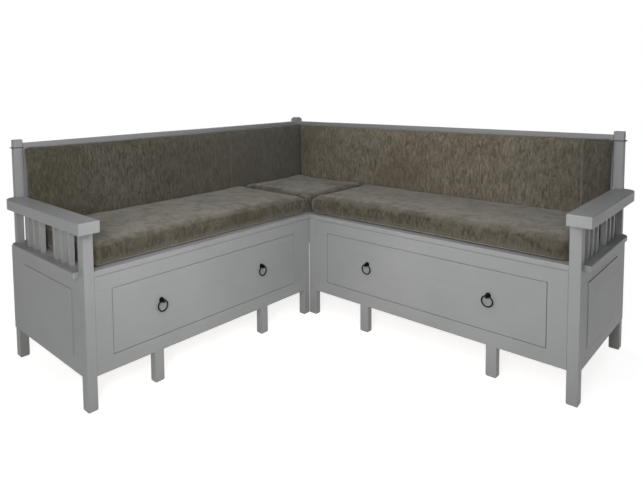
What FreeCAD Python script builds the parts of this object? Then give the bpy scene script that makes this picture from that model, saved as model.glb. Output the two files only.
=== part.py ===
import FreeCAD, Part
import math
import os
import re

from FreeCAD import Placement, Rotation, Vector

# Corner storage bench: two wings that meet at a back corner, each a box on short legs with one wide
# drawer, an open slatted arm at the outer end and an upholstered seat and back.
# Millimetres, +Z up. The origin is the middle of the plan, on the floor. The right wing runs along +X
# with its front facing -Y. The left wing is its mirror image across the plane x + y = 0.
# A place in the right wing is given as s, the distance from the back corner along the wing, and t, the
# distance forward from the back of the wing.

SIZES = [
    ("wing_length", 1525, "back corner to the outer end of a wing"),
    ("seat_depth", 525, "back of a wing to its front"),
    ("floor_gap", 104, "floor to the underside of the boxes"),
    ("board_top", 416, "floor to the top of the seat boards"),
    ("board_thick", 18, "seat boards"),
    ("board_rear", 30, "back of a wing to the rear edge of its seat board"),
    ("board_over_end", 17, "seat board past the wing end"),
    ("board_corner", 26, "plan radius at the seat board's outer rear corner"),
    ("post_size", 32, "square end posts"),
    ("leg_width", 34, "short legs and inner posts, along the wing"),
    ("leg_depth", 27, "short legs and inner posts, front to back"),
    ("leg_outer", 1258, "back corner to the outer short leg"),
    ("leg_inner", 776, "back corner to the inner short leg"),
    ("leg_rear", 1017, "back corner to the short leg at the rear"),
    ("frame_thick", 18, "face frame, drawer front and end board"),
    ("opening_outer", 87.5, "wing end to the drawer opening"),
    ("opening_inner", 93.5, "inner corner to the drawer opening"),
    ("rail_lower", 46.5, "height of the face frame's lower rail"),
    ("rail_upper", 45, "height of the face frame's upper rail"),
    ("panel_front", 48, "front post to the raised panel of a wing end"),
    ("panel_rear", 68, "rear post to the raised panel of a wing end"),
    ("panel_proud", 2, "how far that panel stands out past the wing end"),
    ("bottom_thick", 12, "bottom board of a box"),
    ("back_thick", 6, "back panel of a box"),
    ("rear_rail_height", 40, "rail under the rear edge of the seat boards"),
    ("divider_thick", 18, "board between a box and the corner"),
    ("drawer_gap", 1.5, "gap round a drawer front"),
    ("drawer_side", 12, "thickness of drawer sides and back"),
    ("drawer_clear", 12, "drawer front's end to the drawer side"),
    ("drawer_height", 174, "height of drawer sides"),
    ("drawer_length", 447, "drawer sides, front to back"),
    ("drawer_lift", 3.5, "drawer side above the lower edge of its front"),
    ("drawer_floor", 6, "thickness of the drawer bottom"),
    ("drawer_floor_lift", 5, "drawer bottom above the lower edge of the sides"),
    ("bearer_width", 30, "runner under a drawer side"),
    ("running_gap", 0.3, "clearance under a sliding drawer"),
    ("pull_spacing", 455, "distance between the two pulls of a drawer"),
    ("pull_shift", 8, "the pulls' middle from the drawer's middle towards the wing end"),
    ("pull_height", 268, "floor to the ring's hinge axis"),
    ("pull_reach", 9, "drawer face to the ring's hinge axis"),
    ("ring_radius", 17.4, "middle of the ring's wire"),
    ("ring_wire", 2.2, "radius of the ring's wire"),
    ("eye_clear", 1.0, "radial room of the ring in its eye"),
    ("eye_width", 8, "eye along the ring's hinge axis"),
    ("eye_radius", 6.5, "outer radius of the eye"),
    ("eye_wall", 2.6, "metal of the eye in front of the ring"),
    ("pull_plate", 8.5, "radius of the plate behind the eye"),
    ("pull_plate_thick", 2, "plate behind the eye"),
    ("arm_top", 577, "floor to the top of an arm"),
    ("arm_thick", 35, "arm board"),
    ("arm_width", 66, "arm board"),
    ("arm_over_end", 38, "arm past the wing end"),
    ("arm_over_front", 53, "arm past the front post"),
    ("arm_corner", 34, "plan radius at the arm's outer rear corner"),
    ("arm_rear", 46, "back of the wing to the rear end of the arm"),
    ("slat_size", 16, "square slats"),
    ("slat_inset", 7, "wing end to the slats"),
    ("slat_pitch", 48.5, "slat to slat within a group of three"),
    ("slat_rear_start", 118, "back of the wing to the rear group of slats"),
    ("slat_front_start", 316, "back of the wing to the front group of slats"),
    ("back_place", 34, "back of the wing to the rear of the backrest"),
    ("back_post_thick", 22, "backrest posts and rails, front to back"),
    ("back_post_width", 32, "end post of the backrest above the arm"),
    ("back_post_foot", 24, "the same post below the arm"),
    ("back_post_proud", 0, "how far that post stands out past the wing end"),
    ("back_rail_top", 760, "floor to the top of the backrest"),
    ("back_post_rise", 13, "top of that post above the top of the backrest"),
    ("back_rail_height", 18, "top rail of the backrest"),
    ("back_board_thick", 12, "board behind a back cushion"),
    ("corner_post_size", 40, "square post at the back corner"),
    ("finial_height", 20, "corner post above the rails"),
    ("finial_facet", 9, "chamfer at the top of the corner post"),
    ("seat_cushion_thick", 78, "seat cushions at their crown"),
    ("seat_cushion_back", 21, "seat cushion behind the front of the board"),
    ("corner_cushion_back", 18, "corner cushion behind the inner corner"),
    ("cushion_side_room", 6, "long seat cushion to the front post"),
    ("cushion_joint", 3, "between two seat cushions"),
    ("back_cushion_thick", 50, "back cushions at their crown"),
    ("back_cushion_drop", 13, "top of a back cushion below the rail top"),
    ("seat_crown", 5, "rise of a seat cushion from its edge to its middle"),
    ("seat_crown_share", 0.36, "share of a seat cushion's width over which it rises to its crown"),
    ("seat_round", 32, "rounding of a seat cushion's upper edge"),
    ("seat_corner", 32, "plan radius of a seat cushion's corners"),
    ("back_crown", 6, "rise of a back cushion from its edge to its middle"),
    ("back_crown_share", 0.22, "share of a back cushion's height over which it rises to its crown"),
    ("back_round", 15, "rounding of a back cushion's front edge"),
    ("back_corner", 15, "radius of a back cushion's corners, seen from the front"),
    ("cushion_lower_round", 9, "rounding of a cushion's edge on the side that it rests on"),
    ("cushion_draw", 4, "how far a cushion's sides draw in between corners"),
    ("soft_gap", 0.3, "clearance of soft pieces"),
    ("tie_wire", 1.5, "radius of the cord ties"),
    ("tie_gap", 0.4, "cord to what it goes round"),
    ("tie_bend", 5, "bend radius of the cord at the post's outer edges"),
    ("tie_tail", 16, "end of the cord behind the top of the board"),
    ("tie_drop_right", 32, "top of the right back post to its tie"),
    ("tie_drop_left", 27, "top of the left back post to its tie"),
    ("edge_round", 1.2, "eased edges of frame timber"),
    ("foot_round", 7, "rounding round the lower end of a leg"),
    ("edge_soft", 3, "softer edges of arms, back posts and seat boards"),
]

doc = FreeCAD.newDocument("CornerBench")
sheet = doc.addObject("Spreadsheet::Sheet", "Sizes")
for row, (name, value, note) in enumerate(SIZES, start=1):
    sheet.set(f"A{row}", name)
    sheet.set(f"B{row}", str(value))
    sheet.set(f"C{row}", note)
    sheet.setAlias(f"B{row}", name)
doc.recompute()
NAMES = {name for name, _, _ in SIZES}
sub_parts = []


def ref(text):
    """Turn size names in an expression into references to the sheet."""
    def named(found):
        word = found.group(0)
        return "Sizes." + word if word in NAMES else word

    return re.sub(r"[a-z][a-z_]*", named, text)


def size(name):
    """Read one size from the sheet."""
    return float(sheet.get(name))


# Places shared by several pieces, as expressions of the sizes
HALF = "(wing_length + arm_over_end) / 2"
OPEN_IN = "(seat_depth + opening_inner)"
OPEN_OUT = "(wing_length - opening_outer)"
OPEN_LOW = "(floor_gap + rail_lower)"
BOX_TOP = "(board_top - board_thick)"
OPEN_HIGH = "(board_top - board_thick - rail_upper)"
POST_IN = "(wing_length - post_size)"
POST_BACK = "(seat_depth - post_size)"
REAR_POST_FRONT = "(back_thick + post_size)"
FRAME_BACK = "(seat_depth - frame_thick)"
LEG_BACK = "(seat_depth - leg_depth)"
INNER_END = "(seat_depth + leg_width)"
DIVIDER_IN = "(seat_depth - divider_thick / 2)"
DIVIDER_OUT = "(seat_depth + divider_thick / 2)"
BOTTOM_TOP = "(floor_gap + bottom_thick)"
ARM_LOW = "(arm_top - arm_thick)"
ARM_OUT = "(wing_length + arm_over_end)"
ARM_IN = "(wing_length + arm_over_end - arm_width)"
BACK_FRONT = "(back_place + back_post_thick)"
BACK_END = "(wing_length + back_post_proud - back_post_width)"
FOOT_IN = "(wing_length - back_post_foot)"
RAIL_LOW = "(back_rail_top - back_rail_height)"
POST_TOP = "(back_rail_top + back_post_rise)"
CORNER_BACK = "(back_place + back_post_thick - corner_post_size)"
FRONT_LOW = "(floor_gap + rail_lower + drawer_gap)"
SIDE_LOW = "(floor_gap + rail_lower + drawer_gap + drawer_lift)"
SIDE_TOP = "(floor_gap + rail_lower + drawer_gap + drawer_lift + drawer_height)"
SIDE_IN = "(seat_depth + opening_inner + drawer_gap + drawer_clear)"
SIDE_OUT = "(wing_length - opening_outer - drawer_gap - drawer_clear)"
DRAWER_BACK = "(seat_depth - frame_thick - drawer_length)"
PULL_MIDDLE = "((seat_depth + opening_inner + wing_length - opening_outer) / 2 + pull_shift)"
PULL_FRONT = "(seat_depth + pull_reach)"


def bind(item, prop, text):
    item.setExpression(prop, ref(text))


def place(item, x, y, z):
    """Bind an object's position to expressions in the object's own frame."""
    bind(item, "Placement.Base.x", x)
    bind(item, "Placement.Base.y", y)
    bind(item, "Placement.Base.z", z)


def place_in_wing(item, s, t, z):
    """Put an object's low corner in the right wing: its smallest s and its largest t."""
    place(item, f"({s}) - {HALF}", f"{HALF} - ({t})", z)


def keep(item, label):
    """Name a finished sub-part and remember it for the export."""
    item.Label = label
    sub_parts.append(item)
    return item


def block(body, kind, name, origin, s, t, z):
    """Add or cut a box in a body whose own origin lies at the expressions given: s low, t high, z low."""
    box = body.newObject(kind, name)
    bind(box, "Length", f"({s[1]}) - ({s[0]})")
    bind(box, "Width", f"({t[1]}) - ({t[0]})")
    bind(box, "Height", f"({z[1]}) - ({z[0]})")
    place(box, f"({s[0]}) - ({origin[0]})", f"({origin[1]}) - ({t[1]})", f"({z[0]}) - ({origin[2]})")
    body.Tip = box
    return box


def round_edges(body, name, radius, wanted):
    """Round the edges of a body's last feature whose two end points pass a test."""
    doc.recompute()
    base = body.Tip
    names = []
    for number, edge in enumerate(base.Shape.Edges, start=1):
        if wanted(*[vertex.Point for vertex in edge.Vertexes]):
            names.append(f"Edge{number}")
    rounded = body.newObject("PartDesign::Fillet", name)
    rounded.Base = (base, names)
    bind(rounded, "Radius", radius)
    body.Tip = rounded


def timber(name, s, t, z, ease="edge_round", spare_foot=False, foot=None, corner=None, cuts=(), adds=()):
    """A piece of timber in the right wing. Each argument is a pair of expressions, low and high.

    ease names the rounding of its edges, spare_foot leaves the lowest edges sharp, foot rounds them more
    than the others, corner rounds the outer rear corner in plan, and cuts and adds are further boxes to
    take away or to join.
    """
    body = doc.addObject("PartDesign::Body", name)
    origin = (s[0], t[1], z[0])
    block(body, "PartDesign::AdditiveBox", name + "_block", origin, s, t, z)
    if corner:
        doc.recompute()
        far = body.Tip.Shape.BoundBox

        def outer_rear(a, b):
            return all(abs(p.x - far.XMax) < 0.01 and abs(p.y - far.YMax) < 0.01 for p in (a, b))

        round_edges(body, name + "_corner", corner, outer_rear)
    if foot:
        round_edges(body, name + "_foot", foot, lambda a, b: max(a.z, b.z) < 0.01)
        floor = size(foot) + 0.01
        round_edges(body, name + "_edges", ease, lambda a, b: max(a.z, b.z) > floor)
    elif ease:
        round_edges(body, name + "_edges", ease, lambda a, b: not spare_foot or max(a.z, b.z) > 0.01)
    for number, cut in enumerate(cuts, start=1):
        block(body, "PartDesign::SubtractiveBox", f"{name}_cut{number}", origin, *cut)
    for number, add in enumerate(adds, start=1):
        block(body, "PartDesign::AdditiveBox", f"{name}_add{number}", origin, *add)
    place_in_wing(body, s[0], t[1], z[0])
    return body


def group(name, members):
    """Several like pieces of the right wing that share one node as separate solids."""
    compound = doc.addObject("Part::Compound", name)
    compound.Links = members
    return compound


def mirrored(label, source):
    """The left wing's copy of a right wing piece, mirrored across the plane x + y = 0."""
    copy = doc.addObject("Part::Mirroring", label)
    copy.Source = source
    copy.Base = Vector(0, 0, 0)
    copy.Normal = Vector(1, 1, 0)
    return keep(copy, label)


def both_wings(name, item):
    """Keep a right wing piece and its mirror image."""
    keep(item, name + "_right")
    mirrored(name + "_left", item)


def build_box_frame():
    """Posts, legs and boards of the box under the seat."""
    both_wings("front_post", timber(
        "front_post", (POST_IN, "wing_length"), (POST_BACK, "seat_depth"), ("0", ARM_LOW),
        foot="foot_round"))
    both_wings("rear_post", timber(
        "rear_post", (POST_IN, "wing_length"), ("back_thick", REAR_POST_FRONT), ("0", BOX_TOP),
        foot="foot_round"))
    both_wings("inner_post", timber(
        "inner_post", ("seat_depth", INNER_END), (LEG_BACK, "seat_depth"), ("0", BOX_TOP),
        foot="foot_round"))
    legs = []
    for name, depth in (("leg_outer", (LEG_BACK, "seat_depth")), ("leg_inner", (LEG_BACK, "seat_depth")),
                        ("leg_rear", ("back_thick", "(back_thick + leg_depth)"))):
        legs.append(timber(
            name, (name, f"({name} + leg_width)"), depth, ("0", "floor_gap"), foot="foot_round"))
    both_wings("short_legs", group("short_legs", legs))

    inside_frame = (INNER_END, POST_IN)
    frame = (FRAME_BACK, "seat_depth")
    both_wings("face_top_rail", timber(
        "face_top_rail", inside_frame, frame, (OPEN_HIGH, BOX_TOP), ease=None))
    both_wings("face_bottom_rail", timber(
        "face_bottom_rail", inside_frame, frame, ("floor_gap", OPEN_LOW), ease=None))
    stiles = [timber("stile_inner", (INNER_END, OPEN_IN), frame, (OPEN_LOW, OPEN_HIGH), ease=None),
              timber("stile_outer", (OPEN_OUT, POST_IN), frame, (OPEN_LOW, OPEN_HIGH), ease=None)]
    both_wings("face_stiles", group("face_stiles", stiles))

    panel = (("wing_length", "(wing_length + panel_proud)"),
             (f"({REAR_POST_FRONT} + panel_rear)", f"({POST_BACK} - panel_front)"), (OPEN_LOW, OPEN_HIGH))
    both_wings("end_board", timber(
        "end_board", ("(wing_length - frame_thick)", "wing_length"), (REAR_POST_FRONT, POST_BACK),
        ("floor_gap", BOX_TOP), ease=None, adds=[panel]))
    post_notch = ((DIVIDER_OUT, INNER_END), (LEG_BACK, FRAME_BACK), ("floor_gap", BOTTOM_TOP))
    rear_notch = (("(wing_length - post_size)", "(wing_length - frame_thick)"),
                  ("back_thick", REAR_POST_FRONT), ("floor_gap", BOTTOM_TOP))
    front_notch = (("(wing_length - post_size)", "(wing_length - frame_thick)"),
                   (POST_BACK, FRAME_BACK), ("floor_gap", BOTTOM_TOP))
    both_wings("box_bottom", timber(
        "box_bottom", (DIVIDER_OUT, "(wing_length - frame_thick)"), ("back_thick", FRAME_BACK),
        ("floor_gap", BOTTOM_TOP), ease=None, cuts=[post_notch, rear_notch, front_notch]))
    both_wings("divider", timber(
        "divider", (DIVIDER_IN, DIVIDER_OUT), (REAR_POST_FRONT, LEG_BACK), ("floor_gap", BOX_TOP), ease=None))
    both_wings("rear_panel", timber(
        "rear_panel", ("back_thick", "wing_length"), ("0", "back_thick"), ("floor_gap", BOX_TOP), ease=None))
    both_wings("rear_rail", timber(
        "rear_rail", (BACK_FRONT, POST_IN), ("back_thick", REAR_POST_FRONT),
        (f"({BOX_TOP} - rear_rail_height)", BOX_TOP), ease=None))
    bearers = []
    for side, low in (("inner", SIDE_IN), ("outer", f"({SIDE_OUT} - drawer_side)")):
        start = f"({low} + (drawer_side - bearer_width) / 2)"
        bearers.append(timber(
            "bearer_" + side, (start, f"({start} + bearer_width)"), ("back_thick", FRAME_BACK),
            (BOTTOM_TOP, f"({SIDE_LOW} - running_gap)"), ease=None))
    both_wings("drawer_bearers", group("drawer_bearers", bearers))


def build_seat_boards():
    """Boards that carry the cushions, and the square one in the corner."""
    board = (BOX_TOP, "board_top")
    past_end = "(wing_length + board_over_end)"
    notch = ((POST_IN, past_end), (POST_BACK, "seat_depth"), board)
    both_wings("seat_board", timber(
        "seat_board", ("seat_depth", past_end), ("board_rear", "seat_depth"), board,
        ease="edge_soft", corner="board_corner", cuts=[notch]))
    post_notch = (("board_rear", BACK_FRONT), ("board_rear", BACK_FRONT), board)
    keep(timber("corner_board", ("board_rear", "seat_depth"), ("board_rear", "seat_depth"), board,
                ease=None, cuts=[post_notch]), "corner_board")


def build_drawer():
    """The drawer box and its front."""
    both_wings("drawer_front", timber(
        "drawer_front", (f"({OPEN_IN} + drawer_gap)", f"({OPEN_OUT} - drawer_gap)"),
        (FRAME_BACK, "seat_depth"), (FRONT_LOW, f"({OPEN_HIGH} - drawer_gap)")))
    inner_face = f"({SIDE_IN} + drawer_side)"
    outer_face = f"({SIDE_OUT} - drawer_side)"
    length = (DRAWER_BACK, FRAME_BACK)
    height = (SIDE_LOW, SIDE_TOP)
    walls = [
        timber("side_inner", (SIDE_IN, inner_face), length, height, ease=None),
        timber("side_outer", (outer_face, SIDE_OUT), length, height, ease=None),
        timber("drawer_back", (inner_face, outer_face), (DRAWER_BACK, f"({DRAWER_BACK} + drawer_side)"),
               height, ease=None),
    ]
    both_wings("drawer_walls", group("drawer_walls", walls))
    floor_low = f"({SIDE_LOW} + drawer_floor_lift)"
    both_wings("drawer_bottom", timber(
        "drawer_bottom", (inner_face, outer_face), (f"({DRAWER_BACK} + drawer_side)", FRAME_BACK),
        (floor_low, f"({floor_low} + drawer_floor)"), ease=None))


def forward_cylinder(name, middle, radius, start, length):
    """A cylinder that points forward from a depth in the right wing, at the hinge height."""
    rod = doc.addObject("Part::Cylinder", name)
    bind(rod, "Radius", radius)
    bind(rod, "Height", length)
    rod.Placement = Placement(Vector(), Rotation(Vector(1, 0, 0), 90))
    place_in_wing(rod, middle, start, "pull_height")
    return rod


def build_pull(name, middle):
    """A ring that hangs in an eye on the drawer front. middle is its place along the wing."""
    plate = forward_cylinder(name + "_plate", middle, "pull_plate", "seat_depth", "pull_plate_thick")
    reach = "(pull_reach + ring_wire + eye_clear + eye_wall)"
    stem = forward_cylinder(name + "_stem", middle, "eye_radius", "seat_depth", reach)
    slab = doc.addObject("Part::Box", name + "_slab")
    bind(slab, "Length", "eye_width")
    bind(slab, "Width", reach)
    bind(slab, "Height", "2 * eye_radius")
    place_in_wing(slab, f"({middle}) - eye_width / 2", f"(seat_depth + {reach})", "pull_height - eye_radius")
    eye = doc.addObject("Part::MultiCommon", name + "_eye")
    eye.Shapes = [stem, slab]
    hole = doc.addObject("Part::Cylinder", name + "_hole")
    bind(hole, "Radius", "ring_wire + eye_clear")
    bind(hole, "Height", "2 * eye_width")
    hole.Placement = Placement(Vector(), Rotation(Vector(0, 1, 0), 90))
    place_in_wing(hole, f"({middle}) - eye_width", PULL_FRONT, "pull_height")
    joined = doc.addObject("Part::MultiFuse", name + "_joined")
    joined.Shapes = [plate, eye]
    stud = doc.addObject("Part::Cut", name + "_stud")
    stud.Base = joined
    stud.Tool = hole
    ring = doc.addObject("Part::Torus", name + "_ring")
    bind(ring, "Radius1", "ring_radius")
    bind(ring, "Radius2", "ring_wire")
    ring.Placement = Placement(Vector(), Rotation(Vector(1, 0, 0), 90))
    place_in_wing(ring, middle, PULL_FRONT, "pull_height - ring_radius")
    return stud, ring


def build_pulls():
    studs = []
    for place_name, sign in (("inner", "-"), ("outer", "+")):
        stud, ring = build_pull("pull_" + place_name, f"({PULL_MIDDLE} {sign} pull_spacing / 2)")
        studs.append(stud)
        both_wings("ring_" + place_name, ring)
    both_wings("pull_eyes", group("pull_eyes", studs))


def build_arm():
    """The arm board and the slats that it rests on."""
    foot_notch = ((FOOT_IN, "wing_length"), ("arm_rear", BACK_FRONT), (ARM_LOW, "arm_top"))
    both_wings("armrest", timber(
        "armrest", (ARM_IN, ARM_OUT), ("arm_rear", "(seat_depth + arm_over_front)"), (ARM_LOW, "arm_top"),
        ease="edge_soft", corner="arm_corner", cuts=[foot_notch]))
    slats = []
    for start in ("slat_rear_start", "slat_front_start"):
        for number in range(3):
            rear = f"({start} + {number} * slat_pitch)"
            slats.append(timber(
                f"{start}_{number}", ("(wing_length - slat_inset - slat_size)", "(wing_length - slat_inset)"),
                (rear, f"({rear} + slat_size)"), ("board_top", ARM_LOW)))
    both_wings("slats", group("slats", slats))


def build_backrest():
    """End posts, corner post, rails and boards behind the back cushions."""
    foot = ((FOOT_IN, "wing_length"), ("back_place", BACK_FRONT), ("board_top", "arm_top"))
    both_wings("back_post", timber(
        "back_post", (BACK_END, "(wing_length + back_post_proud)"), ("back_place", BACK_FRONT),
        ("arm_top", POST_TOP), ease="edge_soft", spare_foot=True, adds=[foot]))
    both_wings("back_rail", timber(
        "back_rail", (BACK_FRONT, BACK_END), ("back_place", BACK_FRONT), (RAIL_LOW, "back_rail_top")))
    both_wings("back_board", timber(
        "back_board", (BACK_FRONT, BACK_END), (f"({BACK_FRONT} - back_board_thick)", BACK_FRONT),
        ("board_top", RAIL_LOW), ease=None))
    post = timber("corner_post", (CORNER_BACK, BACK_FRONT), (CORNER_BACK, BACK_FRONT),
                  ("0", "(back_rail_top + finial_height)"), ease=None)
    doc.recompute()
    top = post.Tip.Shape.BoundBox.ZMax
    facets = post.newObject("PartDesign::Chamfer", "corner_post_finial")
    names = []
    for number, edge in enumerate(post.Group[0].Shape.Edges, start=1):
        if all(abs(vertex.Point.z - top) < 0.01 for vertex in edge.Vertexes):
            names.append(f"Edge{number}")
    facets.Base = (post.Group[0], names)
    bind(facets, "Size", "finial_facet")
    post.Tip = facets
    keep(post, "corner_post")


def outline(kind, length, width, inset, level):
    """One level of a cushion: four corner arcs joined by sides that draw in between the corners."""
    radius = max(size(kind + "_corner") - inset / 2, size("cushion_lower_round"))
    draw = size("cushion_draw")
    x0, x1, y0, y1 = inset, length - inset, inset, width - inset
    slant = radius * (1 - math.cos(math.pi / 4))
    corners = [(x0, y0, 1, 1), (x1, y0, -1, 1), (x1, y1, -1, -1), (x0, y1, 1, -1)]
    ends = []
    for number, (x, y, to_x, to_y) in enumerate(corners):
        along_x = Vector(x + to_x * radius, y, level)
        along_y = Vector(x, y + to_y * radius, level)
        middle = Vector(x + to_x * slant, y + to_y * slant, level)
        ends.append((along_y, middle, along_x) if number % 2 == 0 else (along_x, middle, along_y))
    edges = []
    inward = [Vector(0, draw, 0), Vector(-draw, 0, 0), Vector(0, -draw, 0), Vector(draw, 0, 0)]
    for number, (first, middle, last) in enumerate(ends):
        edges.append(Part.Arc(first, middle, last).toShape())
        following = ends[(number + 1) % 4][0]
        side_middle = (last + following) * 0.5 + inward[number]
        edges.append(Part.Arc(last, side_middle, following).toShape())
    return Part.Wire(edges)


def cushion(label, kind, length, width, placement):
    """A boxed cushion with rounded edges, drawn-in sides and a crowned top, lofted level by level.

    kind is seat or back, and picks its thickness, crown and roundings.
    """
    upper, lower = size(kind + "_round"), size("cushion_lower_round")
    crown, reach = size(kind + "_crown"), size(kind + "_crown_share") * min(length, width)
    thick = size(kind + "_cushion_thick")
    steps = 4
    levels = []
    for step in range(steps + 1):
        angle = math.pi / 2 * step / steps
        levels.append((lower * (1 - math.sin(angle)), lower * (1 - math.cos(angle))))
    shoulder = thick - crown
    for step in range(steps + 1):
        angle = math.pi / 2 * step / steps
        levels.append((upper * (1 - math.cos(angle)), shoulder - upper * (1 - math.sin(angle))))
    for step in range(1, steps + 1):
        share = step / steps
        levels.append((upper + reach * share, shoulder + crown * math.sin(math.pi / 2 * share)))
    wires = [outline(kind, length, width, inset, level) for inset, level in levels]
    item = doc.addObject("Part::Feature", label)
    item.Shape = Part.makeLoft(wires, True, True)
    item.Placement = placement
    return keep(item, label)


def build_cushions():
    """Five loose cushions: two against the backrest and three on the seat in front of them."""
    half = (size("wing_length") + size("arm_over_end")) / 2
    soft = size("soft_gap")
    low = size("board_top") + soft
    behind = size("back_place") + size("back_post_thick") + soft
    high = size("back_rail_top") - size("back_cushion_drop")
    back_end = size("wing_length") + size("arm_over_end") - size("arm_width") - soft
    rear = behind + size("back_cushion_thick") + soft
    facing_front = Rotation(Vector(1, 0, 0), Vector(0, 0, 1), Vector(0, -1, 0), "ZXY")
    cushion("back_cushion_right", "back", back_end - rear, high - low,
            Placement(Vector(rear - half, half - behind, low), facing_front))
    facing_side = Rotation(Vector(0, 1, 0), Vector(0, 0, 1), Vector(1, 0, 0), "ZXY")
    cushion("back_cushion_left", "back", back_end - behind, high - low,
            Placement(Vector(behind - half, half - back_end, low), facing_side))

    corner_end = size("seat_depth") - size("corner_cushion_back")
    start = corner_end + size("cushion_joint")
    end = size("wing_length") - size("post_size") - size("cushion_side_room")
    front = size("seat_depth") - size("seat_cushion_back")
    cushion("corner_cushion", "seat", corner_end - rear, corner_end - rear,
            Placement(Vector(rear - half, half - corner_end, low), Rotation()))
    cushion("seat_cushion_right", "seat", end - start, front - rear,
            Placement(Vector(start - half, half - front, low), Rotation()))
    cushion("seat_cushion_left", "seat", front - rear, end - start,
            Placement(Vector(rear - half, half - end, low), Rotation()))


def tie(name, drop):
    """A cord from the end of a back cushion, once round the outside of its post and behind the board."""
    height = size("back_rail_top") + size("back_post_rise") - drop
    half = (size("wing_length") + size("arm_over_end")) / 2
    away = size("tie_wire") + size("tie_gap")
    bend = size("tie_bend")
    post_out = size("wing_length") + size("back_post_proud")
    post_in = post_out - size("back_post_width")
    front = size("back_place") + size("back_post_thick") + away
    rear = size("back_place") - away
    quarter = bend * math.sin(math.pi / 4)

    def spot(s, t):
        return Vector(s - half, half - t, height)

    points_front = (spot(post_in, front), spot(post_out, front))
    edges = [
        Part.LineSegment(*points_front).toShape(),
        Part.Arc(points_front[1], spot(post_out + quarter, front - bend + quarter),
                 spot(post_out + bend, front - bend)).toShape(),
        Part.LineSegment(spot(post_out + bend, front - bend), spot(post_out + bend, rear + bend)).toShape(),
        Part.Arc(spot(post_out + bend, rear + bend), spot(post_out + quarter, rear + bend - quarter),
                 spot(post_out, rear)).toShape(),
        Part.LineSegment(spot(post_out, rear), spot(post_in - size("tie_tail"), rear)).toShape(),
    ]
    route = Part.Wire(edges)
    profile = Part.Wire(Part.Circle(points_front[0], Vector(1, 0, 0), size("tie_wire")).toShape())
    item = doc.addObject("Part::Feature", name)
    item.Shape = route.makePipeShell([profile], True, False)
    print(f"{name}: {route.Length:.1f} long, volume {item.Shape.Volume:.1f},"
          f" expected {math.pi * size('tie_wire') ** 2 * route.Length:.1f}")
    return item


build_box_frame()
build_seat_boards()
build_drawer()
build_pulls()
build_arm()
build_backrest()
build_cushions()
keep(tie("tie_right_cord", size("tie_drop_right")), "tie_right")
mirrored("tie_left", tie("tie_left_cord", size("tie_drop_left")))
doc.recompute()

for item in doc.Objects:
    if "Invalid" in item.State or "Error" in item.State:
        raise RuntimeError(f"{item.Label} failed: {item.State}")
os.makedirs("parts", exist_ok=True)
for item in sub_parts:
    shape = item.Shape
    if shape.isNull() or not shape.isValid() or not shape.Solids:
        raise RuntimeError(f"{item.Label} has no valid solid")
    shape.exportStep(os.path.join("parts", item.Label + ".step"))
print(f"{len(sub_parts)} sub-parts written")
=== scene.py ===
"""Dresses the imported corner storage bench: paint, plywood, black iron, upholstery and cord ties.

Metres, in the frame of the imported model: +Z up, the back corner at -X +Y, the right wing along +X and
facing -Y, the left wing along -Y and facing +X.
"""
import math

import bmesh
import bpy
import numpy
from mathutils import Matrix, Vector, noise
from mathutils.bvhtree import BVHTree


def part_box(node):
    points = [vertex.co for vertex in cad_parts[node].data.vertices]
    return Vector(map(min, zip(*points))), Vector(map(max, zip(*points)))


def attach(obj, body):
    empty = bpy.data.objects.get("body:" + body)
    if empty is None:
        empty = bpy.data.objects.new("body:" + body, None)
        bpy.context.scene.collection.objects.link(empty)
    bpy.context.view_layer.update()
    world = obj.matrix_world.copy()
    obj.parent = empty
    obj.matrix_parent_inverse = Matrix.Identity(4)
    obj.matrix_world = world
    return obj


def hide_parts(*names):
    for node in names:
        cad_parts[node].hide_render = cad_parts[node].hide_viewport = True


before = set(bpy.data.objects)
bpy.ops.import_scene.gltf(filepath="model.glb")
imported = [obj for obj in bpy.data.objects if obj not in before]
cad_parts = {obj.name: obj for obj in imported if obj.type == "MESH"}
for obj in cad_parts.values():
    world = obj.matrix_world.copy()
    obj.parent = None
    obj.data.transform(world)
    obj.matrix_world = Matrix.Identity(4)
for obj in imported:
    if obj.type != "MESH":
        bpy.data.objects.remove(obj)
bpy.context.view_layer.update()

WINGS = ("right", "left")
WING_ORIGIN = 0.7815  # distance of the back corner from the model's middle, on X and on Y
UP = Vector((0, 0, 1))

# Camera, fitted to the photograph: metres, degrees and pixels
CAMERA_PLACE = Vector((1.1828, -1.4721, 0.9405))
CAMERA_YAW = 135.144
CAMERA_PITCH = 3.945
CAMERA_ROLL = -0.812
IMAGE_WIDTH, IMAGE_HEIGHT = 643, 497
FOCAL_PIXELS = 550.5
CENTRE_PIXELS = (256.8, 125.4)
SENSOR_WIDTH = 36.0

# Lights: place, what it is aimed at, width of the disc and power
KEY_LIGHT = ((0.95, -1.75, 1.10), (-0.2, 0.1, 0.40), 0.6, 18)
BETWEEN_LIGHT = ((0.42, -0.42, 0.85), (-0.26, 0.26, 0.30), 0.9, 4.2)
TOP_LIGHT = ((0.4, -0.4, 3.2), (-0.2, 0.2, 0.3), 2.4, 11)
REAR_LIGHT = ((-2.6, 2.4, 1.6), (-0.2, 0.2, 0.4), 2.0, 26)

# Surroundings
WHITE = (1, 1, 1)
WORLD_TINT = (0.97, 0.985, 1.0)
WORLD_STRENGTH = 0.19
FLOOR_REACH = 30.0
FLOOR_GREY = (0.55, 0.55, 0.55)
FLOOR_GLOW = 0.82
FLOOR_FADE = (1.0, 1.9)  # distances from the middle between which the floor turns white

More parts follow.
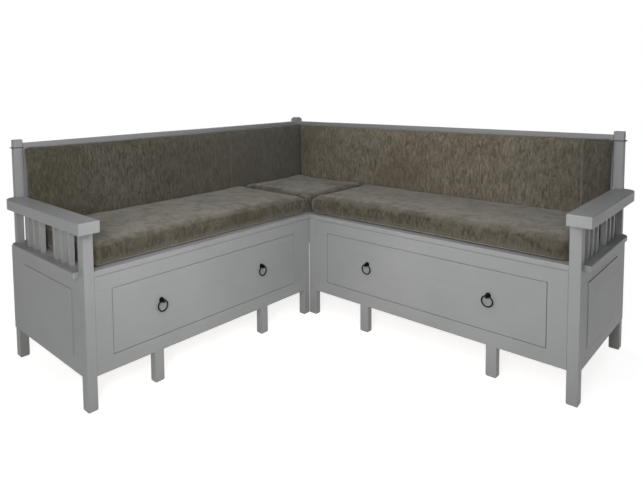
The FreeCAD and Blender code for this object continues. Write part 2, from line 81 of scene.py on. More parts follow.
# Colours, in linear light
PAINT_COOL = (0.300, 0.304, 0.306)
PAINT_WARM = (0.345, 0.348, 0.346)
PAINT_STROKE = (0.385, 0.388, 0.385)
PAINT_SPECK = (0.24, 0.235, 0.22)
PAINT_EDGE_WEAR_AND_HIGHLIGHT = (0.46, 0.455, 0.44)
PAINT_NEAR_FLOOR = (0.18, 0.17, 0.155)
BIRCH_DARK = (0.36, 0.25, 0.15)
BIRCH_LIGHT = (0.52, 0.39, 0.26)
BIRCH_LINE = (0.30, 0.20, 0.12)
IRON_BLACK = (0.002, 0.002, 0.002)
IRON_GREY = (0.008, 0.007, 0.007)
IRON_RUBBED = (0.03, 0.028, 0.026)
# Piping tones, lighter than the pile, partly as painted highlight along the cord
PIPING_DARK = (0.15, 0.142, 0.120)
PIPING_LIGHT = (0.32, 0.305, 0.27)
PIPING_SHADE = (0.12, 0.11, 0.09)
CORD_DARK = (0.028, 0.026, 0.024)
CORD_LIGHT = (0.085, 0.080, 0.072)
SHEEN_TINT = (0.90, 0.88, 0.82)

# Dark, middle and light of the pile, and what a back cushion's outer part turns to
SEAT_TONES = ((0.032, 0.026, 0.017), (0.066, 0.056, 0.038), (0.118, 0.106, 0.082))
BACK_RIGHT_TONES = ((0.078, 0.064, 0.046), (0.150, 0.126, 0.094), (0.262, 0.231, 0.184))
BACK_LEFT_TONES = ((0.042, 0.038, 0.028), (0.088, 0.080, 0.061), (0.168, 0.155, 0.126))
BACK_RIGHT_PANEL = (0.052, 0.054, 0.042)
BACK_LEFT_PANEL = (0.125, 0.120, 0.100)

# How the pile's bright tone, its olive cast and its top, painted lighter as sheen, differ from the tones
BRIGHT_FACTORS = (1.35, 1.35, 1.35)
OLIVE_FACTORS = (0.78, 0.76, 0.62)
TOP_SHEEN_FACTORS = (1.30, 1.36, 1.46)

# Cushion modelling
VOXEL = 0.0075
START_SHRINK = 0.003
SMOOTHING = 0.5
SIM_FRAMES = 14
PRESSURE = 4.0
CLOTH_QUALITY = 4
CLOTH_STIFFNESS = 12
CLOTH_BENDING = 0.6
SWELL_CAP = 0.009
DRIFT_DEPTH = 0.0018
DRIFT_STEP = Vector((3.1, 1.7, 0.9))  # shift of the noise from one cushion to the next
SETTLE_REACH = 0.035
SETTLE_POWER = 1.8
REAR_REACH = 0.070
REAR_BASE = 0.012
REAR_CREASE = 0.009
REAR_CREASE_DEPTH = 0.005

# Seams, hems and piping
SEAM_DEPTH = 0.0026
SEAM_WIDTH = 0.005
SEAM_RIGHT = 1.411 - WING_ORIGIN
SEAM_LEFT = WING_ORIGIN - 0.570
BACK_SEAMS = {
    "back_cushion_right": (0, SEAM_RIGHT, (0, -1, 0)),
    "back_cushion_left": (1, SEAM_LEFT, (1, 0, 0)),
}
# Height of the band on a seat's front that is painted lighter as sheen, and its fade
HEM_HEIGHT = 0.028
HEM_FADE = 0.016
PIPING_RADIUS = 0.0020
PIPING_HEIGHT = 0.0065
RIM_RADIUS = 0.030
RIM_SPACING = 0.006
RIM_STAND_OFF = 0.02
END_WELT_INSET = 0.008
END_WELT_BEND = 0.030
END_WELT_SHARE = 0.93
END_STAND_OFF = 0.08
RAY_DEPTH = 0.04
TUBE_SIDES = 8

# Cord ties: two strands twisted together round the end post of the backrest
POST_OUTER, POST_INNER = 1.525, 1.493
POST_REAR, POST_FRONT = 0.034, 0.056
TIE_CLEARANCE = 0.0019
TIE_SIDE_ROOM = 0.005
TIE_OVERRUN = 0.001
TIE_SLACK = 0.0008
TIE_TURN = 0.004
TIE_TAIL = 0.016
STRAND_RADIUS = 0.0009
STRAND_LAY = 0.0085
STRAND_OVERLAP = 0.8


def wing_point(wing, s, t, z):
    """A point given along a wing, forward from its back and up, in the model's frame."""
    if wing == "right":
        return Vector((s - WING_ORIGIN, WING_ORIGIN - t, z))
    return Vector((t - WING_ORIGIN, WING_ORIGIN - s, z))


def scaled(colour, factors):
    """A colour with each channel multiplied by its own factor."""
    return tuple(value * factor for value, factor in zip(colour, factors))


class Nodes:
    """Short calls for the nodes of a material or a world."""

    def __init__(self, owner, output):
        owner.use_nodes = True
        self.tree = owner.node_tree
        self.tree.nodes.clear()
        self.out = self.tree.nodes.new(output)

    def fill(self, socket, value):
        """Link a socket to another node's output, or set it to a number, a vector or a colour."""
        if hasattr(value, "is_output"):
            self.tree.links.new(value, socket)
        elif socket.type == "RGBA":
            socket.default_value = (*value, 1)
        else:
            socket.default_value = value

    def node(self, kind, inputs=(), **settings):
        """A new node with its settings, and its inputs filled by name or number."""
        node = self.tree.nodes.new(kind)
        for key, value in settings.items():
            setattr(node, key, value)
        for key, value in dict(inputs).items():
            self.fill(node.inputs[key], value)
        return node

    def math(self, kind, *values):
        return self.node("ShaderNodeMath", enumerate(values), operation=kind).outputs["Value"]

    def surface(self, output):
        """Use a shader as the material's or the world's surface."""
        self.fill(self.out.inputs["Surface"], output)


class Shader(Nodes):
    """A material with a Principled shader, whose textures lie in the model's own coordinates."""

    def __init__(self, name):
        self.material = bpy.data.materials.new(name)
        super().__init__(self.material, "ShaderNodeOutputMaterial")
        self.bsdf = self.node("ShaderNodeBsdfPrincipled")
        self.surface(self.bsdf.outputs["BSDF"])
        self.place = self.node("ShaderNodeTexCoord").outputs["Object"]

    def set(self, name, value):
        """Fill an input of the Principled shader."""
        self.fill(self.bsdf.inputs[name], value)

    def noise(self, scale, detail=3.0, rough=0.5, stretch=(1, 1, 1), distortion=0.0):
        """Noise from 0 to 1. stretch is a scale for each axis: a small one draws the noise out along it."""
        place = self.node("ShaderNodeMapping", {"Vector": self.place, "Scale": stretch}).outputs["Vector"]
        inputs = {"Vector": place, "Scale": scale, "Detail": detail, "Roughness": rough,
                  "Distortion": distortion}
        return self.node("ShaderNodeTexNoise", inputs).outputs["Fac"]

    def between(self, value, low, high, to_low=0.0, to_high=1.0):
        """A value brought from one range to another, and kept inside it."""
        inputs = {"Value": value, "From Min": low, "From Max": high, "To Min": to_low, "To Max": to_high}
        return self.node("ShaderNodeMapRange", inputs).outputs["Result"]

    def mix(self, factor, first, second):
        """A blend of two colours."""
        return self.node("ShaderNodeMix", {0: factor, 6: first, 7: second}, data_type="RGBA").outputs[2]

    def tint(self, colour, other, mask, low, high, strength=1.0, within=None):
        """Turn a colour to another, up to a strength, as a mask goes from low to high."""
        amount = self.between(mask, low, high, 0.0, strength)
        if within is not None:
            amount = self.math("MULTIPLY", amount, within)
        return self.mix(amount, colour, other)

    def component(self, vector, axis):
        return self.node("ShaderNodeSeparateXYZ", {0: vector}).outputs["XYZ".index(axis)]

    def position(self, axis):
        """The place along an axis of the model."""
        return self.component(self.place, axis)

    def facing(self, axis):
        """How far the surface faces along an axis of the model, from -1 to 1."""
        return self.component(self.node("ShaderNodeNewGeometry").outputs["Normal"], axis)

    def bump(self, height, distance, strength=1.0, normal=None):
        """A surface normal tilted by a height, on top of another normal if one is given."""
        inputs = {"Height": height, "Distance": distance, "Strength": strength}
        if normal is not None:
            inputs["Normal"] = normal
        return self.node("ShaderNodeBump", inputs).outputs["Normal"]

    def rounded(self, radius):
        """The surface normal as if edges were rounded by a small radius."""
        return self.node("ShaderNodeBevel", {"Radius": radius}, samples=6).outputs["Normal"]

    def edge_mask(self, rounded_normal, low, high):
        """1 on edges and 0 on flats, from how far the rounded normal turns away from the true one."""
        true_normal = self.node("ShaderNodeNewGeometry").outputs["True Normal"]
        dot = self.node("ShaderNodeVectorMath", {0: rounded_normal, 1: true_normal}, operation="DOT_PRODUCT")
        return self.between(dot.outputs["Value"], 1 - low, 1 - high)


def grain_stretch(axis, along, across):
    """Scale for a texture drawn out along one axis of the model."""
    return tuple(along if letter == axis else across for letter in "XYZ")


def make_paint(name, axis):
    """Satin pale grey paint brushed on wood, with faint strokes along the grain, and thin edges painted
    lighter, partly wear and partly painted highlight.
    """
    shade = Shader(name)
    soft = shade.rounded(0.0018)
    strokes = shade.noise(9.0, 5.0, 0.6, grain_stretch(axis, 0.6, 14.0))
    clouds = shade.noise(2.3, 4.0, 0.55)
    specks = shade.noise(70.0, 2.0, 0.6)
    edges = shade.edge_mask(soft, 0.05, 0.35)
    near_floor = shade.between(shade.position("Z"), 0.09, 0.0)
    colour = shade.tint(PAINT_COOL, PAINT_WARM, clouds, 0.35, 0.65)
    colour = shade.tint(colour, PAINT_STROKE, strokes, 0.30, 0.75, 0.18)
    colour = shade.tint(colour, PAINT_SPECK, specks, 0.64, 0.74, 0.25)
    # Edges painted lighter in specks: partly wear, partly painted highlight.
    colour = shade.tint(colour, PAINT_EDGE_WEAR_AND_HIGHLIGHT, specks, 0.40, 0.60, 0.55, edges)
    # Paint darker towards the floor.
    colour = shade.tint(colour, PAINT_NEAR_FLOOR, clouds, 0.30, 0.70, 0.35, near_floor)
    shade.set("Base Color", colour)
    shade.set("Roughness", shade.between(strokes, 0.2, 0.8, 0.36, 0.50))
    shade.set("Specular IOR Level", 0.45)
    shade.set("Normal", shade.bump(strokes, 0.0004, 0.5, soft))
    return shade.material


def make_plywood(name, axis):
    """Pale birch plywood for the boards inside, with long grain lines."""
    shade = Shader(name)
    lines = shade.noise(16.0, 6.0, 0.65, grain_stretch(axis, 0.5, 9.0), 0.6)
    fine = shade.noise(90.0, 3.0, 0.6, grain_stretch(axis, 0.15, 3.0))
    colour = shade.tint(BIRCH_DARK, BIRCH_LIGHT, lines, 0.32, 0.70)
    colour = shade.tint(colour, BIRCH_LINE, fine, 0.45, 0.75, 0.35)
    shade.set("Base Color", colour)
    shade.set("Roughness", shade.between(fine, 0.2, 0.8, 0.5, 0.68))
    shade.set("Normal", shade.bump(fine, 0.0005, 0.6, shade.rounded(0.0008)))
    return shade.material


def make_iron(name):
    """Black lacquered iron, slightly uneven, with a little rubbed sheen on the high spots."""
    shade = Shader(name)
    dents = shade.noise(160.0, 4.0, 0.6)
    rub = shade.noise(420.0, 2.0, 0.5)
    colour = shade.tint(IRON_BLACK, IRON_GREY, dents, 0.45, 0.75)
    colour = shade.tint(colour, IRON_RUBBED, rub, 0.68, 0.80, 0.3)
    shade.set("Base Color", colour)
    shade.set("Specular IOR Level", 0.12)
    shade.set("Roughness", shade.between(dents, 0.2, 0.8, 0.34, 0.55))
    shade.set("Normal", shade.bump(dents, 0.0006, 0.7))
    return shade.material


def make_pile(name, stretch, tones, crush, top=0.0, hem=None, panel=None):
    """Grey-brown chenille: short pile in fine streaks, crushed into lighter and darker patches.

    stretch draws the streaks out, tones are the dark, middle and light colours, crush is the strength
    of the crushed patches and top how much lighter the pile is painted where it faces up, a painted
    sheen. hem is the height up to which a seat's front is painted lighter, also a painted sheen. panel
    is (axis, place, reach, strength, colour): the cloth turns to that colour over the reach before a
    seam at that place, and a little more past it.
    """
    shade = Shader(name)
    dark, middle, light = tones
    bright = scaled(light, BRIGHT_FACTORS)
    tuft = shade.noise(520.0, 3.0, 0.7)
    streak = shade.noise(190.0, 4.0, 0.75, stretch, 0.4)
    clump = shade.noise(105.0, 4.0, 0.7, stretch, 0.8)
    patch = shade.noise(11.0, 5.0, 0.65, distortion=1.4)
    crease = shade.noise(34.0, 3.0, 0.6, distortion=2.2)
    cloud = shade.noise(2.6, 3.0, 0.5)
    ridge = shade.math("ABSOLUTE", shade.math("SUBTRACT", crease, 0.5))
    colour = shade.tint(dark, light, streak, 0.36, 0.62)
    colour = shade.mix(0.30, colour, middle)
    colour = shade.tint(colour, light, tuft, 0.42, 0.68, 0.30)
    colour = shade.tint(colour, dark, clump, 0.48, 0.34, 0.80)
    colour = shade.tint(colour, bright, clump, 0.52, 0.66, 0.60)
    colour = shade.tint(colour, bright, patch, 0.46, 0.62, crush)
    colour = shade.tint(colour, middle, patch, 0.44, 0.34, crush)
    colour = shade.tint(colour, bright, ridge, 0.035, 0.0, crush * 0.8)
    colour = shade.tint(colour, scaled(middle, OLIVE_FACTORS), cloud, 0.42, 0.62, 0.45)
    # Upward faces of the pile are painted lighter and greyer, with mottling: painted sheen.
    if top:
        up = shade.between(shade.facing("Z"), 0.62, 0.96, 0.0, top)
        mottle = shade.noise(46.0, 3.0, 0.6, (0.45, 0.45, 1), 0.8)
        grey = scaled(bright, TOP_SHEEN_FACTORS)
        colour = shade.mix(up, colour, grey)
        colour = shade.tint(colour, middle, patch, 0.52, 0.40, 0.55, up)
        colour = shade.tint(colour, dark, clump, 0.46, 0.32, 0.70, up)
        colour = shade.tint(colour, middle, mottle, 0.50, 0.43, 0.55, up)
        colour = shade.tint(colour, grey, mottle, 0.51, 0.58, 0.60, up)
    # Below the hem height a seat's front is painted lighter in streaks: painted sheen.
    if hem:
        low = shade.between(shade.position("Z"), hem, hem - HEM_FADE)
        low_sheen = shade.between(streak, 0.34, 0.56, 0.15, 0.75)
        colour = shade.mix(shade.math("MULTIPLY", low, low_sheen), colour, bright)
    if panel:
        axis, place, reach, strength, other = panel
        along = shade.position(axis)
        slope = shade.between(along, place - reach, place, 0.0, strength * 0.65)
        step = shade.between(along, place - 0.003, place + 0.003, 0.0, strength * 0.35)
        colour = shade.mix(shade.math("ADD", slope, step), colour, other)
        away = shade.math("ABSOLUTE", shade.math("SUBTRACT", along, place))
        colour = shade.tint(colour, bright, away, 0.0045, 0.0015, 0.22)
    shade.set("Base Color", colour)
    shade.set("Roughness", 0.92)
    shade.set("Specular IOR Level", 0.10)
    shade.set("Sheen Weight", 0.35)
    shade.set("Sheen Roughness", 0.40)
    shade.set("Sheen Tint", SHEEN_TINT)
    fuzz = shade.math("ADD", shade.math("MULTIPLY", tuft, 0.5), shade.math("MULTIPLY", streak, 0.8))
    worn = shade.bump(patch, 0.006, 0.5, shade.bump(crease, 0.003, 0.4))
    shade.set("Normal", shade.bump(fuzz, 0.0028, 0.85, worn))
    return shade.material


def make_piping(name):
    """The same cloth rolled tight over a cord, its colour lighter than the pile's, partly as painted
    highlight along the cord.
    """
    shade = Shader(name)
    tuft = shade.noise(600.0, 3.0, 0.7)
    patch = shade.noise(14.0, 3.0, 0.6)
    colour = shade.tint(PIPING_DARK, PIPING_LIGHT, tuft, 0.30, 0.70)
    colour = shade.tint(colour, PIPING_SHADE, patch, 0.40, 0.65, 0.4)
    shade.set("Base Color", colour)
    shade.set("Roughness", 0.9)
    shade.set("Sheen Weight", 0.6)
    shade.set("Sheen Roughness", 0.4)
    shade.set("Normal", shade.bump(tuft, 0.0012, 0.7))
    return shade.material


def make_cord_material(name):
    """Dark twisted cotton cord."""
    shade = Shader(name)
    fibre = shade.noise(900.0, 3.0, 0.6)
    shade.set("Base Color", shade.tint(CORD_DARK, CORD_LIGHT, fibre, 0.30, 0.70))
    shade.set("Roughness", 0.85)
    shade.set("Sheen Weight", 0.2)
    shade.set("Normal", shade.bump(fibre, 0.0005, 0.6))
    return shade.material


def make_cloths():
    """The pile of each cushion, by its CAD node."""
    seat_right, seat_left, back = (1.0, 0.30, 0.30), (0.30, 1.0, 0.30), (1, 1, 0.28)
    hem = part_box("seat_cushion_right")[0].z + HEM_HEIGHT
    right_panel = ("X", SEAM_RIGHT, 0.30, 0.60, BACK_RIGHT_PANEL)
    left_panel = ("Y", SEAM_LEFT, 0.45, 0.45, BACK_LEFT_PANEL)
    return {
        # For the seats, the number after crush is how much lighter their tops are painted, as painted sheen.
        "seat_cushion_right": make_pile("pile_seat_right", seat_right, SEAT_TONES, 0.42, 0.68, hem),
        "seat_cushion_left": make_pile("pile_seat_left", seat_left, SEAT_TONES, 0.50, 0.75, hem),
        "corner_cushion": make_pile("pile_seat_corner", seat_left, SEAT_TONES, 0.20, 0.97),
        "back_cushion_right": make_pile("pile_back_right", back, BACK_RIGHT_TONES, 0.16, panel=right_panel),
        "back_cushion_left": make_pile("pile_back_left", back, BACK_LEFT_TONES, 0.14, panel=left_panel),
    }


def give_material(item, material):
    """Make a material the only one of an object."""
    item.data.materials.clear()
    item.data.materials.append(material)


def dress_frame():
    """Paint, plywood and iron for the CAD nodes that stay."""
    paint = {axis: make_paint("paint_" + axis.lower(), axis) for axis in "XYZ"}
    plywood = {axis: make_plywood("plywood_" + axis.lower(), axis) for axis in "XY"}
    iron = make_iron("black_iron")
    upright = ("front_post", "rear_post", "inner_post", "short_legs", "face_stiles", "slats", "back_post",
               "corner_post", "divider")
    inside = ("drawer_walls", "drawer_bottom", "drawer_bearers", "box_bottom", "rear_rail")
    for node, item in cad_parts.items():
        wing = node.rsplit("_", 1)[-1]
        name = node.rsplit("_", 1)[0] if wing in WINGS else node
        along, across = ("Y", "X") if wing == "left" else ("X", "Y")
        if name.startswith(("ring_", "pull_eyes")):
            material = iron
        elif name in upright:
            material = paint["Z"]
        elif name in inside:
            material = plywood[along]
        elif name in ("armrest", "end_board"):
            material = paint[across]
        else:
            material = paint[along]
        give_material(item, material)


def finish_mesh(item, material):
    """Give an object's mesh its material and smooth shading."""
    give_material(item, material)
    for face in item.data.polygons:
        face.use_smooth = True


def mesh_object(name, mesh, material):
    """A new smooth object with one material."""
    item = bpy.data.objects.new(name, mesh)
    bpy.context.scene.collection.objects.link(item)
    finish_mesh(item, material)
    return item


def evaluated_mesh(item):
    """The mesh that an object's modifiers give."""
    graph = bpy.context.evaluated_depsgraph_get()
    return bpy.data.meshes.new_from_object(item.evaluated_get(graph))


def apply_modifiers(item):
    mesh = evaluated_mesh(item)
    item.modifiers.clear()
    item.data = mesh


def modified(item, kind, **settings):
    """Apply one modifier to an object's mesh."""
    modifier = item.modifiers.new(kind, kind)
    for key, value in settings.items():
        setattr(modifier, key, value)
    apply_modifiers(item)


def coordinates(mesh):
    """All vertex places of a mesh as an array."""
    flat = numpy.empty(len(mesh.vertices) * 3)
    mesh.vertices.foreach_get("co", flat)
    return flat.reshape(-1, 3)


def normals(mesh):
    """All vertex normals of a mesh as an array."""
    flat = numpy.empty(len(mesh.vertices) * 3)
    mesh.vertices.foreach_get("normal", flat)
    return flat.reshape(-1, 3)


def move_to(mesh, places):
    """Put a mesh's vertices at new places."""
    mesh.vertices.foreach_set("co", places.ravel())
    mesh.update()


def inflate(items):
    """Blow the cushions up a little with Cloth, all in one run, and cap how far a point may move."""
    starts = {}
    for item in items:
        starts[item.name] = coordinates(item.data)
        cloth = item.modifiers.new("Cloth", "CLOTH")
        cloth.point_cache.frame_start = 1
        cloth.point_cache.frame_end = SIM_FRAMES + 1
        cloth.settings.effector_weights.gravity = 0
        cloth.settings.use_pressure = True
        cloth.settings.uniform_pressure_force = PRESSURE
        cloth.settings.quality = CLOTH_QUALITY
        cloth.settings.tension_stiffness = CLOTH_STIFFNESS
        cloth.settings.compression_stiffness = CLOTH_STIFFNESS
        cloth.settings.bending_stiffness = CLOTH_BENDING
    for number in range(1, SIM_FRAMES + 1):
        bpy.context.scene.frame_set(number)
    for item in items:
        apply_modifiers(item)
        start = starts[item.name]
        move = coordinates(item.data) - start
        far = numpy.linalg.norm(move, axis=1, keepdims=True)
        move_to(item.data, start + move * numpy.minimum(1, SWELL_CAP / numpy.maximum(far, 1e-9)))
    bpy.context.scene.frame_set(1)


def fill_box(mesh, low, high):
    """Stretch a mesh so that it just fills a box."""
    places = coordinates(mesh)
    least, most = places.min(axis=0), places.max(axis=0)
    low, high = numpy.array(low), numpy.array(high)
    move_to(mesh, low + (places - least) / (most - least) * (high - low))


def unevenness(place, offset):
    """Slow noise with half as much noise of a finer scale."""
    return noise.noise(place * 7 + offset) + 0.5 * noise.noise(place * 19 + offset)


def drift(mesh, depth, seed):
    """Low, slow unevenness of the filling."""
    places = coordinates(mesh)
    amount = [unevenness(Vector(place), DRIFT_STEP * seed) for place in places]
    move_to(mesh, places + normals(mesh) * numpy.array(amount)[:, None] * depth)


def press_seam(mesh, axis, place, front):
    """Draw the cloth in along a vertical seam at one place along the cushion."""
    places = coordinates(mesh)
    front = numpy.array(front)
    facing = numpy.maximum(0, normals(mesh) @ front)
    away = (places[:, axis] - place) / SEAM_WIDTH
    move_to(mesh, places - front * (SEAM_DEPTH * facing * numpy.exp(-away ** 2))[:, None])


def settle(mesh, low):
    """Let a cushion's weight flatten its lower edge onto the board."""
    places = coordinates(mesh)
    height = numpy.clip((places[:, 2] - low.z) / SETTLE_REACH, 0, 1)
    lower = places[:, 2] < low.z + SETTLE_REACH
    places[lower, 2] = low.z + SETTLE_REACH * height[lower] ** SETTLE_POWER
    move_to(mesh, places)


def push_up(mesh, low, axis, place, inward):
    """Fill out the upper edge of a seat cushion along the side that the back cushion presses.

    The top is level up to that side, but for a narrow crease where the two cushions meet.
    """
    places = coordinates(mesh)
    away = (places[:, axis] - place) * inward
    steps = numpy.linspace(0, REAR_REACH, 15)
    tops = [places[abs(away - step) < steps[1], 2].max() for step in steps]
    crease = REAR_CREASE_DEPTH * numpy.clip(1 - away / REAR_CREASE, 0, 1) ** 2
    base = low.z + REAR_BASE
    factor = (tops[-1] - crease - base) / (numpy.interp(away, steps, tops) - base)
    upper = (places[:, 2] > base) & (away < REAR_REACH)
    places[upper, 2] = base + (places[upper, 2] - base) * factor[upper]
    move_to(mesh, places)


def shape_seat(node, mesh, low, high):
    """Settle a seat cushion on its board and fill it out along each back cushion that it touches."""
    settle(mesh, low)
    if node != "seat_cushion_left":
        push_up(mesh, low, 1, high.y, -1)
    if node != "seat_cushion_right":
        push_up(mesh, low, 0, low.x, 1)


def rim_track(low, high, level):
    """Points round a cushion's outline at one height, each with the direction that faces out there."""
    left, right = low.x + RIM_RADIUS, high.x - RIM_RADIUS
    near, far = low.y + RIM_RADIUS, high.y - RIM_RADIUS
    centres = [Vector((x, y, level)) for x, y in ((left, near), (right, near), (right, far), (left, far))]
    bend_steps = round(RIM_RADIUS * math.pi / 2 / RIM_SPACING)
    track = []
    for number, centre in enumerate(centres):
        for step in range(bend_steps + 1):
            turn = math.radians(180 + 90 * number + 90 * step / bend_steps)
            out = Vector((math.cos(turn), math.sin(turn), 0))
            track.append((centre + out * RIM_RADIUS, out))
        end = track[-1][0]
        start = centres[(number + 1) % 4] + out * RIM_RADIUS
        count = round((start - end).length / RIM_SPACING)
        for step in range(1, count):
            track.append((end.lerp(start, step / count), out))
    return track


def end_track(along, place, front, rear, bottom, top):
    """Points up a seat cushion's front, round its edge and back over its top, with what faces out there.

    along is the axis of the cushion's length, place is the track's place on it, and front and rear are
    the cushion's sides on the other plan axis.
    """
    across = 1 - along
    forward = 1 if front > rear else -1
    edge = front - forward * END_WELT_BEND
    climb = top - bottom - END_WELT_BEND - PIPING_HEIGHT
    plan = [(front, bottom + PIPING_HEIGHT + step / 9 * climb, forward, 0) for step in range(10)]
    for angle in range(10, 90, 10):
        turn = math.radians(angle)
        plan.append((edge, top - END_WELT_BEND, forward * math.cos(turn), math.sin(turn)))
    for step in range(60):
        plan.append((edge + (rear - front) * step / 59 * END_WELT_SHARE, top, 0, 1))
    track = []
    for across_place, height, out_across, out_up in plan:
        point, out = Vector((place, place, height)), UP * out_up
        point[across], out[across] = across_place, out_across
        track.append((point, out))
    return track


def relaxed(points, closed):
    """A line of points evened out; an open line keeps its ends."""
    for _ in range(3):
        count = len(points)
        evened = [(points[i - 1] + points[i] * 2 + points[(i + 1) % count]) / 4 for i in range(count)]
        points = evened if closed else [points[0], *evened[1:-1], points[-1]]
    return points


def tube(name, lines, radius, material, closed):
    """An object with a round tube along each line of points."""
    mesh = bmesh.new()
    for points in lines:
        rings = []
        count = len(points)
        for number, point in enumerate(points):
            before = points[number - 1] if closed or number else points[0]
            after = points[(number + 1) % count] if closed or number < count - 1 else points[-1]
            ahead = (after - before).normalized()
            side = ahead.cross(UP)
            side = side.normalized() if side.length > 1e-6 else Vector((1, 0, 0))
            up = side.cross(ahead).normalized()
            ring = []
            for step in range(TUBE_SIDES):
                turn = 2 * math.pi * step / TUBE_SIDES
                offset = side * math.cos(turn) * radius + up * math.sin(turn) * radius
                ring.append(mesh.verts.new(point + offset))
            rings.append(ring)
        for number in range(count if closed else count - 1):
            first, second = rings[number], rings[(number + 1) % count]
            for step in range(TUBE_SIDES):
                following = (step + 1) % TUBE_SIDES
                mesh.faces.new((first[step], first[following], second[following], second[step]))
        if not closed:
            mesh.faces.new(rings[0])
            mesh.faces.new(list(reversed(rings[-1])))
    bmesh.ops.recalc_face_normals(mesh, faces=mesh.faces)
    data = bpy.data.meshes.new(name)
    mesh.to_mesh(data)
    mesh.free()
    return mesh_object(name, data, material)


def lay_welt(name, tree, track, stand_off, closed, material):
    """A piped welt on a cushion, found by rays cast back at it from a little way off along a track."""
    found = []
    for point, out in track:
        hit = tree.ray_cast(point + out * stand_off, -out, stand_off + RAY_DEPTH)[0]
        if hit is not None:
            found.append(hit)
    welt = tube(name, [relaxed(found, closed)], PIPING_RADIUS, material, closed)
    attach(welt, "frame")


def lay_welts(node, cushion, low, high, material):
    """Piping round a seat cushion's lower edge, and over a long one near its inner end."""
    tree = BVHTree.FromObject(cushion, bpy.context.evaluated_depsgraph_get())
    rim = rim_track(low, high, low.z + PIPING_HEIGHT)
    lay_welt(node + "_piping", tree, rim, RIM_STAND_OFF, True, material)
    ends = {
        "seat_cushion_right": (0, low.x + END_WELT_INSET, low.y, high.y, low.z, high.z),
        "seat_cushion_left": (1, high.y - END_WELT_INSET, high.x, low.x, low.z, high.z),
    }
    if node in ends:
        lay_welt(node + "_end_piping", tree, end_track(*ends[node]), END_STAND_OFF, False, material)


def build_cushions():
    """The five loose cushions, each in the space of its CAD solid."""
    cloths = make_cloths()
    welt_cloth = make_piping("piping")
    made = {}
    for node, cloth in cloths.items():
        item = mesh_object(node + "_soft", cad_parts[node].data.copy(), cloth)
        modified(item, "REMESH", mode="VOXEL", voxel_size=VOXEL, use_smooth_shade=True)
        modified(item, "SMOOTH", factor=SMOOTHING, iterations=4)
        move_to(item.data, coordinates(item.data) - normals(item.data) * START_SHRINK)
        made[node] = item
    inflate(made.values())
    for seed, (node, item) in enumerate(made.items(), 1):
        modified(item, "SMOOTH", factor=SMOOTHING, iterations=3)
        modified(item, "SUBSURF", levels=1, render_levels=1)
        drift(item.data, DRIFT_DEPTH, seed)
        low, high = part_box(node)
        fill_box(item.data, low, high)
        if node in BACK_SEAMS:
            press_seam(item.data, *BACK_SEAMS[node])
        else:
            shape_seat(node, item.data, low, high)
        finish_mesh(item, cloths[node])
        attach(item, "frame")
        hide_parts(node)
        if node not in BACK_SEAMS:
            lay_welts(node, item, low, high, welt_cloth)


def tie_line(wing, height):
    """Points along a tie's smooth line, which hugs the post: a NURBS spline of the third order."""
    front, rear = POST_FRONT + TIE_CLEARANCE, POST_REAR - TIE_CLEARANCE
    side, bend = POST_OUTER + TIE_SIDE_ROOM, POST_OUTER + TIE_OVERRUN
    plan = [
        (POST_INNER, front),
        (bend, front + TIE_SLACK),
        (side, front - TIE_TURN),
        (side, rear + TIE_TURN),
        (bend, rear - TIE_SLACK),
        (POST_INNER - TIE_TAIL, rear),
    ]
    data = bpy.data.curves.new(f"tie_{wing}_line", "CURVE")
    data.dimensions = "3D"
    data.resolution_u = 24
    spline = data.splines.new("NURBS")
    spline.points.add(len(plan) - 1)
    for point, (s, t) in zip(spline.points, plan):
        point.co = (*wing_point(wing, s, t, height), 1)
    spline.order_u = 3
    spline.use_endpoint_u = True
    item = bpy.data.objects.new(data.name, data)
    bpy.context.scene.collection.objects.link(item)
    mesh = evaluated_mesh(item)
    points = [vertex.co.copy() for vertex in mesh.vertices]
    bpy.data.objects.remove(item)
    bpy.data.meshes.remove(mesh)
    return points


def strand(line, phase):
    """Points of one strand that winds round a line."""
    run, points = 0.0, []
    for number, point in enumerate(line):
        following = line[min(number + 1, len(line) - 1)]
        ahead = (following - line[max(number - 1, 0)]).normalized()
        side = ahead.cross(UP).normalized()
        turn = phase + 2 * math.pi * run / STRAND_LAY
        offset = side * math.cos(turn) + UP * math.sin(turn)
        points.append(point + offset * STRAND_RADIUS * STRAND_OVERLAP)
        run += (following - point).length
    return points


def build_ties():
    """The two cord ties round the end posts of the backrest."""
    material = make_cord_material("tie_cord")
    for wing in WINGS:
        low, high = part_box("tie_" + wing)
        line = tie_line(wing, (low.z + high.z) / 2)
        strands = [strand(line, phase) for phase in (0.0, math.pi)]
        cord = tube(f"tie_{wing}_cord", strands, STRAND_RADIUS, material, False)
        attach(cord, "frame")
        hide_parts("tie_" + wing)


def build_stage():
    """A pale floor that fades to white away from the object and keeps the object's shadow near it."""
    shade = Shader("floor")
    shade.set("Base Color", FLOOR_GREY)
    shade.set("Roughness", 0.9)
    shade.set("Specular IOR Level", 0.0)
    path = shade.node("ShaderNodeLightPath")
    seen = shade.math("MAXIMUM", path.outputs["Is Camera Ray"], path.outputs["Is Glossy Ray"])
    distance = shade.node("ShaderNodeVectorMath", {0: shade.place}, operation="LENGTH").outputs["Value"]
    far = shade.between(distance, *FLOOR_FADE)
    strength = shade.math("MULTIPLY", seen, FLOOR_GLOW)
    glow = shade.node("ShaderNodeEmission", {"Color": WHITE, "Strength": strength})
    near = shade.node("ShaderNodeAddShader", {0: shade.bsdf.outputs["BSDF"], 1: glow.outputs["Emission"]})
    white = shade.node("ShaderNodeEmission", {"Color": WHITE, "Strength": 1.0})
    inputs = {0: shade.math("MULTIPLY", seen, far), 1: near.outputs["Shader"], 2: white.outputs["Emission"]}
    shade.surface(shade.node("ShaderNodeMixShader", inputs).outputs["Shader"])
    corners = [(x * FLOOR_REACH, y * FLOOR_REACH, 0) for x, y in ((-1, -1), (1, -1), (1, 1), (-1, 1))]
    mesh = bpy.data.meshes.new("floor")
    mesh.from_pydata(corners, [], [(0, 1, 2, 3)])
    floor = bpy.data.objects.new("floor", mesh)
    give_material(floor, shade.material)
    bpy.context.scene.collection.objects.link(floor)


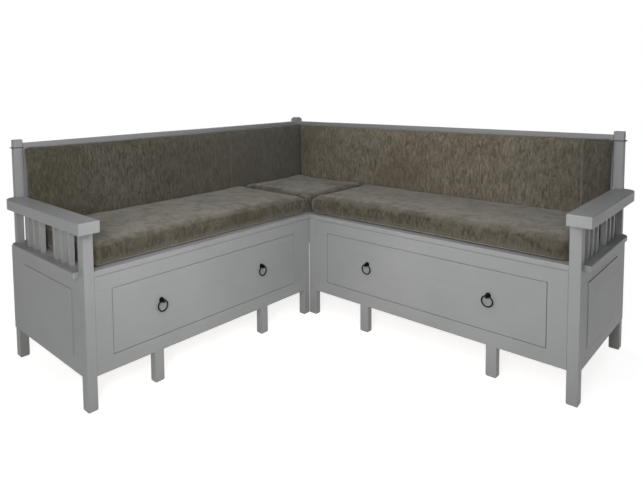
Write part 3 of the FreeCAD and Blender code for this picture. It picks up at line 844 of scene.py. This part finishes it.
def build_world():
    """An even, dim surround that is white where the camera sees it."""
    world = bpy.data.worlds.new("studio")
    bpy.context.scene.world = world
    nodes = Nodes(world, "ShaderNodeOutputWorld")
    path = nodes.node("ShaderNodeLightPath")
    seen = nodes.math("MAXIMUM", path.outputs["Is Camera Ray"], path.outputs["Is Transmission Ray"])
    dim = nodes.node("ShaderNodeBackground", {"Color": WORLD_TINT, "Strength": WORLD_STRENGTH})
    white = nodes.node("ShaderNodeBackground", {"Color": WHITE, "Strength": 1.0})
    inputs = {0: seen, 1: dim.outputs["Background"], 2: white.outputs["Background"]}
    nodes.surface(nodes.node("ShaderNodeMixShader", inputs).outputs["Shader"])


def area_light(name, place, target, width, power):
    """A round lamp that faces its target."""
    data = bpy.data.lights.new(name, "AREA")
    data.shape = "DISK"
    data.size = width
    data.energy = power
    lamp = bpy.data.objects.new(name, data)
    lamp.location = place
    lamp.rotation_euler = (Vector(target) - Vector(place)).to_track_quat("-Z", "Y").to_euler()
    bpy.context.scene.collection.objects.link(lamp)
    return lamp


def build_lights():
    """A key from the front, a low lamp between the wings, a weak light above and a fill behind."""
    area_light("key", *KEY_LIGHT)
    area_light("between", *BETWEEN_LIGHT).visible_camera = False
    area_light("top", *TOP_LIGHT)
    area_light("rear", *REAR_LIGHT)


def build_camera():
    """The photograph's view. The lens axis isn't in the middle of the frame, so the camera is shifted."""
    yaw, pitch, roll = (math.radians(angle) for angle in (CAMERA_YAW, CAMERA_PITCH, CAMERA_ROLL))
    forward = Vector((math.cos(yaw) * math.cos(pitch), math.sin(yaw) * math.cos(pitch), -math.sin(pitch)))
    right = Vector((math.sin(yaw), -math.cos(yaw), 0))
    up = right.cross(forward)
    turned_right = right * math.cos(roll) + up * math.sin(roll)
    turned_up = up * math.cos(roll) - right * math.sin(roll)
    turn = Matrix((turned_right, turned_up, -forward)).transposed().to_4x4()
    data = bpy.data.cameras.new("camera")
    data.sensor_fit = "HORIZONTAL"
    data.sensor_width = SENSOR_WIDTH
    data.lens = FOCAL_PIXELS * SENSOR_WIDTH / IMAGE_WIDTH
    data.shift_x = (IMAGE_WIDTH / 2 - CENTRE_PIXELS[0]) / IMAGE_WIDTH
    data.shift_y = (CENTRE_PIXELS[1] - IMAGE_HEIGHT / 2) / IMAGE_WIDTH
    camera = bpy.data.objects.new("camera", data)
    camera.matrix_world = Matrix.Translation(CAMERA_PLACE) @ turn
    bpy.context.scene.collection.objects.link(camera)
    bpy.context.scene.camera = camera


build_camera()
dress_frame()
build_cushions()
build_ties()
build_stage()
build_world()
build_lights()
bpy.context.scene.view_settings.view_transform = "Standard"
